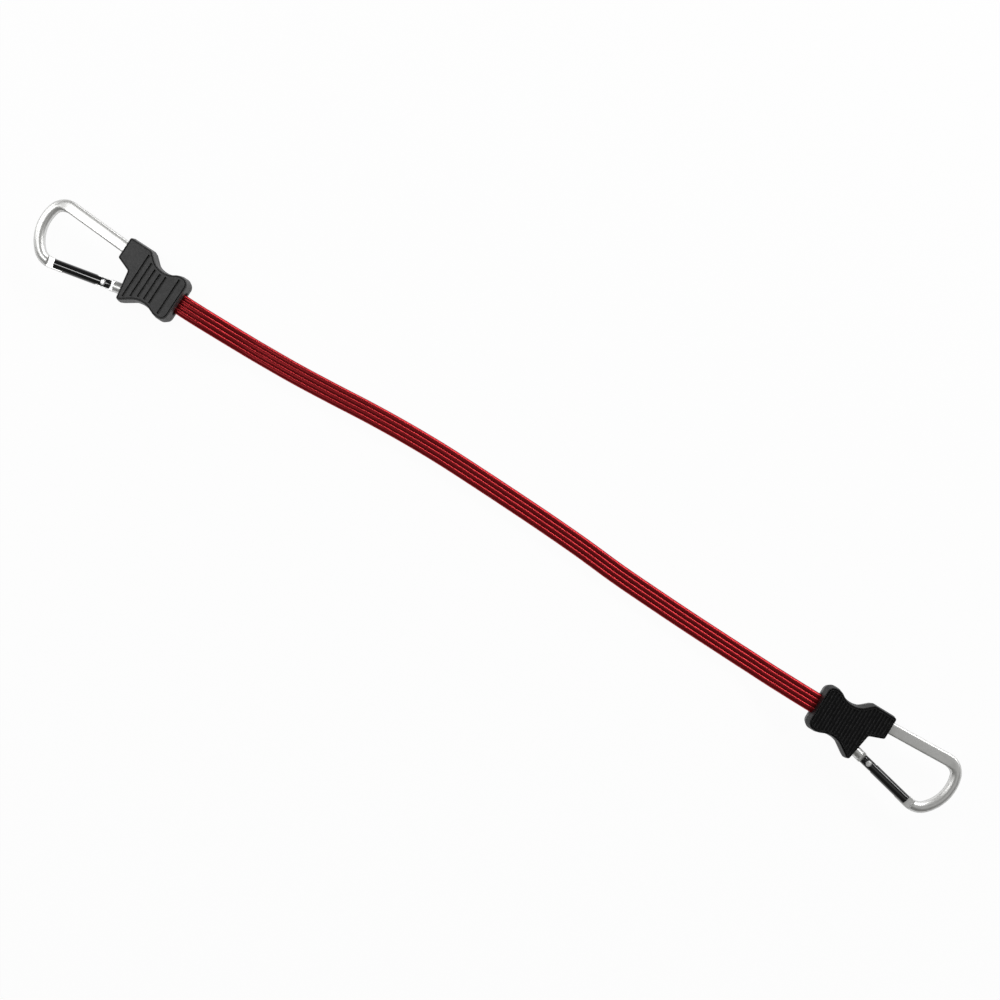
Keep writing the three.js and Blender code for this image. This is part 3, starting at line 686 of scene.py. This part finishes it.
# housing: two moulded halves that meet at mid-thickness
housing = {
    "halfThickness": 8 * mm,
    "seam": 0.15 * mm,
    "draft": 0.7 * mm,
    "lipDrop": 0.3 * mm,
    "lipRound": (0.35 * mm, 4),          # radius and segments
    "lipWidth": 0.18 * mm,
    "rimGroove": (0.44 * mm, 0.6 * mm),  # width and depth
    "rimSlope": 0.05 * mm,
    "wall": 2.2 * mm,
    "pocketDepth": 6.2 * mm,
    "pocketStretch": 1.16,
    "edgeRound": 0.12 * mm,
    # corner: x, y, radius, steps, on the pocket too
    "corners": [
        (0, -14, 4, 8, True), (8, -14, 6, 6, True), (17.2, -10, 11, 14, True),
        (28.6, -17.7, 1.2, 4, False), (31, -17.7, 1.2, 4, True), (33.8, -0.8, 1.2, 5, True),
        (42.5, 2.6, 1.2, 5, True), (42.5, 17, 1.2, 5, True), (27.6, 17, 1.5, 5, True),
        (17.2, 7.7, 11, 14, True), (8, 14, 6, 6, True), (0, 14, 4, 8, True),
    ],
    "grip": {"width": 1.55, "depth": 1.2, "margin": 0.9,
             "places": [5.9] + [13 + 3.65 * i for i in range(5)]},
    "fine": {"width": 1.45, "depth": 0.35, "margin": 0.5,
             "places": [3.1 + 1.95 * i for i in range(20)]},
    "mouth": {"halfWidth": 6.4 * mm, "halfHeight": 1.9 * mm, "depth": 10 * mm,
              "round": (0.9, 5), "flare": 1.4 * mm, "flareDepth": 2 * mm},
}


# an upright block from a corner outline: drawn corner by corner, filled, and drawn up with a lean
def outlineBlock(name, corners, depth, lean):
    dropSelection()
    bpy.ops.mesh.primitive_plane_add(size=mm)
    block = settle(name)
    pick(block, "VERT", lambda vertex: True)
    bpy.ops.mesh.merge(type="CENTER")
    bpy.ops.transform.translate(value=(corners[0].x, corners[0].y, 0))
    for start, end in zip(corners, corners[1:]):
        bpy.ops.mesh.extrude_region_move(TRANSFORM_OT_translate={"value": end - start})
    bpy.ops.mesh.select_all(action="SELECT")
    bpy.ops.mesh.edge_face_add()
    leaveEdit()
    if block.data.polygons[0].normal.z < 0:
        block.data.flip_normals()
    pick(block, "FACE", lambda face: True)
    bpy.ops.mesh.inset(thickness=lean, depth=depth)
    bpy.ops.mesh.select_mode(type="EDGE")
    bpy.ops.mesh.select_all(action="DESELECT")
    bpy.ops.mesh.select_non_manifold()
    bpy.ops.mesh.edge_face_add()
    leaveEdit()
    faceOutwards(block)
    return block


def roundCorners(block, corners, radii, steps):
    count = len(corners)
    for i, corner in enumerate(corners):
        before = (corner - corners[i - 1]).normalized()
        after = (corners[(i + 1) % count] - corner).normalized()
        run = radii[i] * math.tan(before.angle(after) / 2)

        def upright(edge):
            ends = sorted(edgeEnds(block, edge), key=lambda end: end.z)
            return ends[1].z - ends[0].z > mm and (ends[0] - corner).length < 2 * tiny

        pick(block, "EDGE", upright)
        bpy.ops.mesh.bevel(offset=run, segments=steps[i], affect="EDGES")
        leaveEdit()


# lowest and highest y of the panel's outline at one x
def panelSpan(block, x):
    top = housing["halfThickness"]
    crossings = []
    for edge in block.data.edges:
        a, b = edgeEnds(block, edge)
        if min(a.z, b.z) > top - tiny and (a.x < x) != (b.x < x):
            crossings.append(a.y + (b.y - a.y) * (x - a.x) / (b.x - a.x))
    return min(crossings), max(crossings)


def mouthCutter():
    mouth = housing["mouth"]
    wide, high, deep = mouth["halfWidth"], mouth["halfHeight"], mouth["flareDepth"]
    share, segments = mouth["round"]
    cutter = boxCutter((-mm, mouth["depth"]), (-wide, wide), (-high, high))
    pick(cutter, "EDGE", lambda edge: runAlong(cutter, edge) > mm)
    bpy.ops.mesh.bevel(offset=share * high, segments=segments, affect="EDGES")
    bpy.ops.mesh.select_all(action="SELECT")
    bpy.ops.mesh.bisect(plane_co=(deep, 0, 0), plane_no=(1, 0, 0))
    leaveEdit()
    grow = mouth["flare"] * (1 + mm / deep)
    pick(cutter, "VERT", lambda vertex: vertex.co.x < 0)
    bpy.ops.transform.resize(value=(1, 1 + grow / wide, 1 + grow / high))
    leaveEdit()
    return cutter


# a rounded lip round the top, and inside it a fine groove and a panel that stands a little higher
def raisePanel(half, lip):
    width, depth = housing["rimGroove"]
    lipRound, lipSegments = housing["lipRound"]
    slope = housing["rimSlope"]
    pick(half, "EDGE", lambda edge: min(end.z for end in edgeEnds(half, edge)) > lip - tiny)
    bpy.ops.mesh.bevel(offset=lipRound, segments=lipSegments, affect="EDGES")
    leaveEdit()
    pick(half, "FACE", lambda face: face.normal.z > 0.99 and face.center.z > lip - tiny)
    bpy.ops.mesh.inset(thickness=housing["lipWidth"])
    bpy.ops.mesh.inset(thickness=slope, depth=-depth)
    bpy.ops.mesh.inset(thickness=width)
    bpy.ops.mesh.inset(thickness=slope, depth=depth + housing["lipDrop"])
    leaveEdit()


def grooveCutter(half, grooves):
    width, depth, margin = (grooves[key] * mm for key in ("width", "depth", "margin"))
    top = housing["halfThickness"]
    cutters = []
    for place in grooves["places"]:
        x = place * mm
        low, high = panelSpan(half, x)
        cutters.append(boxCutter((x - width / 2, x + width / 2), (low + margin, high - margin),
                                 (top - depth, top + mm)))
    dropSelection()
    for cutter in cutters:
        cutter.select_set(True)
    bpy.context.view_layer.objects.active = cutters[0]
    bpy.ops.object.join()
    return cutters[0]


# the cuts can leave a chip of plastic loose, which is dropped
def largestPart(piece):
    name = piece.name
    pick(piece, "FACE", lambda face: True)
    bpy.ops.mesh.separate(type="LOOSE")
    leaveEdit()
    parts = sorted(bpy.context.selected_objects, key=lambda part: len(part.data.polygons))
    for chip in parts[:-1]:
        bpy.data.objects.remove(chip)
    parts[-1].name = name
    return parts[-1]


def hollowFrom(corners):
    pocket = outlineBlock("cutter", corners, housing["pocketDepth"], tiny)
    pick(pocket, "FACE", lambda face: abs(face.normal.z) < 0.5)
    bpy.ops.transform.shrink_fatten(value=-housing["wall"], use_even_offset=True)
    leaveEdit()
    stretch = Matrix.Diagonal((1, 1, housing["pocketStretch"], 1))
    pocket.data.transform(Matrix.Translation((0, 0, -mm)) @ stretch)
    return pocket


def mouldHalf(name, side, grooves):
    corners = [Vector((x * mm, y * mm, 0)) for x, y, radius, steps, pocket in housing["corners"]]
    radii = [corner[2] * mm for corner in housing["corners"]]
    steps = [corner[3] for corner in housing["corners"]]
    top = housing["halfThickness"]
    lip = top - housing["lipDrop"]
    half = outlineBlock(name, corners, lip - housing["seam"], housing["draft"])
    roundCorners(half, corners, radii, steps)
    half.data.transform(Matrix.Translation((0, 0, housing["seam"])))
    raisePanel(half, lip)
    cutAway(half, grooveCutter(half, grooves))
    cutAway(half, hollowFrom([c for c, given in zip(corners, housing["corners"]) if given[4]]))
    if side < 0:
        editAll(half)
        bpy.ops.transform.resize(value=(1, 1, -1), center_override=(0, 0, 0))
        leaveEdit()
        half.data.flip_normals()
    cutAway(half, bendRod("cutter", hook["fitGap"]))
    cutAway(half, mouthCutter())
    half = largestPart(half)
    softenEdges(half, housing["edgeRound"])
    return half


hookRod = bendRod("snap_hook_rod", 0)
millRod(hookRod)
softenEdges(hookRod, hook["edgeRound"])
hookRods = putCopies(hookRod, "carabiner_frame", "end")
gates = putCopies(turnGate(), "gate", "gate")
rivets = putCopies(headRivet(), "gate_pivot_rivet", "gate")
springs = putSprings()
strapEnds = putCopies(foldStrapEnd(), "strap_end_loop", "end")
frontShell = mouldHalf("grip_front_shell", -1, housing["grip"])
fronts = putCopies(frontShell, "housing_front_shell", "end")
backShell = mouldHalf("ribbed_back_shell", 1, housing["fine"])
backs = putCopies(backShell, "housing_back_shell", "end")


# finishes

def newFinish(name, **sockets):
    finish = bpy.data.materials.new(name)
    finish.use_nodes = True
    shader = finish.node_tree.nodes["Principled BSDF"]
    for socket, value in sockets.items():
        shader.inputs[socket.replace("_", " ")].default_value = value
    return finish, finish.node_tree, shader


def addNode(tree, kind, settings=None, **sockets):
    node = tree.nodes.new(kind)
    for setting, value in (settings or {}).items():
        setattr(node, setting, value)
    for socket, value in sockets.items():
        node.inputs[socket.replace("_", " ")].default_value = value
    return node


def rampBetween(tree, source, low, high, first, last):
    ramp = addNode(tree, "ShaderNodeValToRGB")
    ramp.color_ramp.elements[0].position = low
    ramp.color_ramp.elements[1].position = high
    ramp.color_ramp.elements[0].color = first
    ramp.color_ramp.elements[1].color = last
    tree.links.new(source, ramp.inputs["Fac"])
    return ramp.outputs["Color"]


def grey(level):
    return (level, level, level, 1)


def bumpFrom(tree, shader, height, strength, distance):
    bump = addNode(tree, "ShaderNodeBump", Strength=strength, Distance=distance)
    tree.links.new(height, bump.inputs["Height"])
    tree.links.new(bump.outputs["Normal"], shader.inputs["Normal"])


def noiseOn(tree, scale, detail=4.0, roughness=0.6):
    place = addNode(tree, "ShaderNodeTexCoord")
    noise = addNode(tree, "ShaderNodeTexNoise", Scale=scale, Detail=detail, Roughness=roughness)
    tree.links.new(place.outputs["Object"], noise.inputs["Vector"])
    return noise.outputs["Fac"]


# long faint scratches: noise drawn out along x
def scratchesOn(tree, across, lengthwise):
    place = addNode(tree, "ShaderNodeTexCoord")
    stretch = addNode(tree, "ShaderNodeMapping", Scale=(lengthwise, across, across))
    noise = addNode(tree, "ShaderNodeTexNoise", Scale=1.0, Detail=3.0, Roughness=0.7)
    tree.links.new(place.outputs["Object"], stretch.inputs["Vector"])
    tree.links.new(stretch.outputs["Vector"], noise.inputs["Vector"])
    return noise.outputs["Fac"]


# 1 within the radius of an edge and 0 on the faces
def edgesOn(tree, radius):
    bevelled = addNode(tree, "ShaderNodeBevel", {"samples": 6}, Radius=radius)
    flat = addNode(tree, "ShaderNodeNewGeometry")
    match = addNode(tree, "ShaderNodeVectorMath", {"operation": "DOT_PRODUCT"})
    tree.links.new(bevelled.outputs["Normal"], match.inputs[0])
    tree.links.new(flat.outputs["True Normal"], match.inputs[1])
    return rampBetween(tree, match.outputs["Value"], 0.8, 0.99, grey(1), grey(0))


# 1 in the open and less in a recess, where the shade is painted
def openingOn(tree, depth):
    shelter = addNode(tree, "ShaderNodeAmbientOcclusion", {"samples": 6}, Distance=depth)
    return rampBetween(tree, shelter.outputs["AO"], 0.45, 0.85, grey(0), grey(1))


def blendColours(tree, share, first, second):
    mix = addNode(tree, "ShaderNodeMix", {"data_type": "RGBA"})
    tree.links.new(share, mix.inputs["Factor"])
    tree.links.new(first, mix.inputs["A"])
    tree.links.new(second, mix.inputs["B"])
    return mix.outputs["Result"]


# metal: uneven tone, and fine scratches that vary the shine
metals = {
    "toneScale": 180.0,
    "scratches": (5000.0, 150.0),   # across and lengthwise, per metre
    "bump": (0.004, 0.01 * mm),     # strength and distance
    "tint": grey(0.2),
    "satin": {"name": "satin_aluminium", "light": (0.86, 0.86, 0.85, 1), "dark": (0.81, 0.81, 0.8, 1),
              "smooth": 0.37, "rough": 0.42, "metallic": 0.78},
    "steel": {"name": "bright_steel", "light": (0.72, 0.72, 0.73, 1), "dark": (0.6, 0.6, 0.61, 1),
              "smooth": 0.25, "rough": 0.38, "metallic": 1.0},
    "nickel": {"name": "nickel_rivet", "light": grey(0.96), "dark": grey(0.9),
               "smooth": 0.28, "rough": 0.36, "metallic": 0.6},
}


def metalFinish(look):
    finish, tree, shader = newFinish(look["name"], Metallic=look["metallic"],
                                     Specular_Tint=metals["tint"])
    tone = rampBetween(tree, noiseOn(tree, metals["toneScale"]), 0.3, 0.7, look["dark"], look["light"])
    tree.links.new(tone, shader.inputs["Base Color"])
    wear = scratchesOn(tree, *metals["scratches"])
    shine = rampBetween(tree, wear, 0.35, 0.7, grey(look["smooth"]), grey(look["rough"]))
    tree.links.new(shine, shader.inputs["Roughness"])
    bumpFrom(tree, shader, wear, *metals["bump"])
    return finish


# moulded plastic: fine spark-eroded grain, uneven tone, painted shade in the recesses, and a painted
# highlight along the edges
plastics = {
    "toneScale": 250.0,
    "edgeHighlightScale": 700.0,
    "recessShadeScale": 900.0,
    "wearScale": 1200.0,
    "grainScale": 2600.0,
    "grain": (0.2, 0.05 * mm),      # strength and distance
    "edgeReach": 0.25 * mm,
    # painted shade in recesses: how far it reaches, and its near-black colours
    "recessShadeReach": 1.2 * mm,
    "paintedRecessShade": (grey(0.001), grey(0.003)),
    "smooth": 0.42,
    "rough": 0.58,
    # edge: the colour of the painted highlight along the edges
    "grip": {"name": "charcoal_moulding", "light": (0.042, 0.042, 0.043, 1),
             "dark": (0.03, 0.03, 0.031, 1), "edge": (0.085, 0.085, 0.087, 1), "shine": 0.45},
    "back": {"name": "black_moulding", "light": (0.006, 0.006, 0.0065, 1),
             "dark": (0.004, 0.004, 0.0045, 1), "edge": (0.15, 0.15, 0.153, 1), "shine": 0.15},
}


def plasticFinish(look):
    finish, tree, shader = newFinish(look["name"], Specular_IOR_Level=look["shine"])
    light, dark, edge = look["light"], look["dark"], look["edge"]
    tone = rampBetween(tree, noiseOn(tree, plastics["toneScale"]), 0.35, 0.65, dark, light)
    # painted highlight: the edges are painted lighter, in patches
    edgeHighlight = rampBetween(tree, noiseOn(tree, plastics["edgeHighlightScale"]), 0.25, 0.6, light, edge)
    colour = blendColours(tree, edgesOn(tree, plastics["edgeReach"]), tone, edgeHighlight)
    # painted shade: recesses are painted near black, in uneven patches
    paintedRecessShade = rampBetween(tree, noiseOn(tree, plastics["recessShadeScale"]), 0.3, 0.7, *plastics["paintedRecessShade"])
    colour = blendColours(tree, openingOn(tree, plastics["recessShadeReach"]), paintedRecessShade, colour)
    tree.links.new(colour, shader.inputs["Base Color"])
    worn = rampBetween(tree, noiseOn(tree, plastics["wearScale"]), 0.3, 0.7,
                       grey(plastics["smooth"]), grey(plastics["rough"]))
    tree.links.new(worn, shader.inputs["Roughness"])
    bumpFrom(tree, shader, noiseOn(tree, plastics["grainScale"], 3.0), *plastics["grain"])
    return finish


# gloss anodising under a clear seal, with hairlines along the barrel
gloss = {
    "shine": 0.5,
    "seal": (0.4, 0.05),            # weight and roughness
    "toneScale": 300.0,
    "dark": (0.002, 0.002, 0.0025, 1),
    "light": (0.005, 0.005, 0.006, 1),
    "scratches": (4000.0, 120.0),
    "smooth": 0.08,
    "rough": 0.16,
    "bump": (0.003, 0.01 * mm),
}


def anodisedFinish():
    weight, roughness = gloss["seal"]
    finish, tree, shader = newFinish("gloss_black_anodised", Specular_IOR_Level=gloss["shine"],
                                     Coat_Weight=weight, Coat_Roughness=roughness)
    tone = rampBetween(tree, noiseOn(tree, gloss["toneScale"]), 0.3, 0.7, gloss["dark"], gloss["light"])
    tree.links.new(tone, shader.inputs["Base Color"])
    wear = scratchesOn(tree, *gloss["scratches"])
    shine = rampBetween(tree, wear, 0.45, 0.75, grey(gloss["smooth"]), grey(gloss["rough"]))
    tree.links.new(shine, shader.inputs["Roughness"])
    bumpFrom(tree, shader, wear, *gloss["bump"])
    return finish


# woven sheath: yarns cross over and under along the UV map, and the grooves and outer sides are painted
# darker as shade
woven = {
    "yarn": 0.45 * mm,
    "index": 2.45,                  # high, for the shine of tight synthetic yarn
    "tint": (1, 0.07, 0.085, 1),
    "yarnShade": (0.3, 0.7),        # share of the weave, and what is left flat
    # painted shade: how much darker the grooves are painted
    "paintedGrooveShade": 0.9,
    "dark": (0.004, 0.0001, 0.0001, 1),
    "light": (0.03, 0.0003, 0.0003, 1),
    "rough": 0.4,
    "smooth": 0.35,
    "bump": (0.015, 0.12 * mm),
}


def sheathFinish():
    finish, tree, shader = newFinish("red_woven_sheath", IOR=woven["index"], Specular_IOR_Level=1.0,
                                     Specular_Tint=woven["tint"])
    uv = addNode(tree, "ShaderNodeUVMap", {"uv_map": "weave"})
    parts = addNode(tree, "ShaderNodeSeparateXYZ")
    tree.links.new(uv.outputs["UV"], parts.inputs[0])

    def maths(operation, a, b=None):
        node = addNode(tree, "ShaderNodeMath", {"operation": operation})
        for socket, value in zip(node.inputs, (a, b)):
            if isinstance(value, (int, float)):
                socket.default_value = value
            elif value is not None:
                tree.links.new(value, socket)
        return node.outputs[0]

    def humps(steps):
        return maths("SINE", maths("MULTIPLY", maths("FRACT", steps), math.pi))

    u, v = parts.outputs["X"], parts.outputs["Y"]
    rise = maths("DIVIDE", maths("ADD", u, v), woven["yarn"])
    fall = maths("DIVIDE", maths("SUBTRACT", u, v), woven["yarn"])
    parity = maths("FLOORED_MODULO", maths("ADD", maths("FLOOR", rise), maths("FLOOR", fall)), 2.0)
    over = maths("MULTIPLY", humps(rise), parity)
    under = maths("MULTIPLY", humps(fall), maths("SUBTRACT", 1.0, parity))
    weave = maths("ADD", over, under)
    # painted shade: the attribute read here darkens the colour in the grooves and on the outer sides
    paintedShade = addNode(tree, "ShaderNodeAttribute", {"attribute_name": "paintedShade"})
    share, flat = woven["yarnShade"]
    # the weave's own pattern, less the painted shade
    weaveAndPaintedShade = maths("SUBTRACT", maths("ADD", maths("MULTIPLY", weave, share), flat),
                  maths("MULTIPLY", paintedShade.outputs["Fac"], woven["paintedGrooveShade"]))
    colour = rampBetween(tree, weaveAndPaintedShade, 0.1, 1.0, woven["dark"], woven["light"])
    tree.links.new(colour, shader.inputs["Base Color"])
    shine = rampBetween(tree, weave, 0.0, 1.0, grey(woven["rough"]), grey(woven["smooth"]))
    tree.links.new(shine, shader.inputs["Roughness"])
    bumpFrom(tree, shader, weave, *woven["bump"])
    return finish


def paint(pieces, finish):
    for piece in pieces:
        piece.data.materials.clear()
        piece.data.materials.append(finish)


satin = metalFinish(metals["satin"])
steel = metalFinish(metals["steel"])
nickel = metalFinish(metals["nickel"])
anodised = anodisedFinish()
gripPlastic = plasticFinish(plastics["grip"])
backPlastic = plasticFinish(plastics["back"])
sheath = sheathFinish()

paint(hookRods, satin)
paint(gates, anodised)
paint(rivets, nickel)
paint(springs, steel)
paint(fronts, gripPlastic)
paint(backs, backPlastic)
paint([ribbedStrap] + strapEnds, sheath)
for side in endPlaces:
    for node in ("strap_crimp", "gate_plunger"):
        paint([frame["nodes"][f"{node}_{side}"]], steel)
print("finishes set")


# floor: pale, and lit evenly where the camera or a mirror sees it
stage = {
    "size": 8,
    "drop": 0.05 * mm,
    "colour": grey(0.9),
    "roughness": 0.9,
    "glowShare": 0.96,
}


def paleStage():
    bpy.context.scene.view_settings.view_transform = "Standard"
    dropSelection()
    bpy.ops.mesh.primitive_plane_add(size=stage["size"], location=(0, 0, -stage["drop"]))
    floor = settle("pale_floor")
    finish, tree, shader = newFinish("pale_floor", Base_Color=stage["colour"],
                                     Roughness=stage["roughness"])
    glow = addNode(tree, "ShaderNodeEmission", Strength=1.0)
    rays = addNode(tree, "ShaderNodeLightPath")
    seen = rays.outputs["Is Camera Ray"]
    for other in ("Is Glossy Ray", "Is Transmission Ray"):
        both = addNode(tree, "ShaderNodeMath", {"operation": "MAXIMUM"})
        tree.links.new(seen, both.inputs[0])
        tree.links.new(rays.outputs[other], both.inputs[1])
        seen = both.outputs[0]
    part = addNode(tree, "ShaderNodeMath", {"operation": "MULTIPLY"})
    part.inputs[1].default_value = stage["glowShare"]
    tree.links.new(seen, part.inputs[0])
    mix = addNode(tree, "ShaderNodeMixShader")
    tree.links.new(part.outputs[0], mix.inputs[0])
    tree.links.new(shader.outputs[0], mix.inputs[1])
    tree.links.new(glow.outputs[0], mix.inputs[2])
    tree.links.new(mix.outputs[0], tree.nodes["Material Output"].inputs["Surface"])
    floor.data.materials.append(finish)


# a lamp as long as its line, turned to the target
def addStrip(name, start, end, width, target, power):
    start, end, target = Vector(start), Vector(end), Vector(target)
    middle = (start + end) / 2
    lengthwise = (end - start).normalized()
    back = middle - target
    back = (back - lengthwise * back.dot(lengthwise)).normalized()
    turn = Matrix((lengthwise, back.cross(lengthwise), back)).transposed()
    bpy.ops.object.light_add(type="AREA", location=middle, rotation=turn.to_euler())
    lamp = bpy.context.object
    lamp.name = name
    lamp.data.shape = "RECTANGLE"
    lamp.data.size, lamp.data.size_y = (end - start).length, width
    lamp.data.energy = power


# a low strip along the upper side, a strip over the left hook, a panel beyond it,
# and a panel over the right hook, under a dim sky
studio = {
    "sky": ((1, 1, 0.95, 1), 0.14),
    "lamps": {
        "low_strip": {"start": (-0.4, 1.1, 0.35), "end": (1.15, 1.1, 0.65), "width": 0.2,
                      "target": (0.35, 0, 0), "power": 13},
        "left_strip": {"start": (-0.88, -0.04, 0.95), "end": (-0.46, -0.04, 0.95), "width": 0.17,
                       "target": (-0.67, -0.04, 0), "power": 2.4},
        "left_panel": {"start": (-1.25, -0.3, 0.45), "end": (-1.25, 0.5, 0.45), "width": 0.7,
                       "target": (-0.3, 0.1, 0), "power": 4},
        "right_top": {"start": (0.48, 0, 0.92), "end": (1.2, 0, 0.92), "width": 0.6,
                      "target": (0.84, 0, 0), "power": 0.5},
    },
}


def studioLight():
    world = bpy.data.worlds.new("studio")
    world.use_nodes = True
    sky = world.node_tree.nodes["Background"]
    sky.inputs["Color"].default_value, sky.inputs["Strength"].default_value = studio["sky"]
    bpy.context.scene.world = world
    for name, lamp in studio["lamps"].items():
        addStrip(name, **lamp)
    print("lamps set", list(studio["lamps"]))


paleStage()
studioLight()
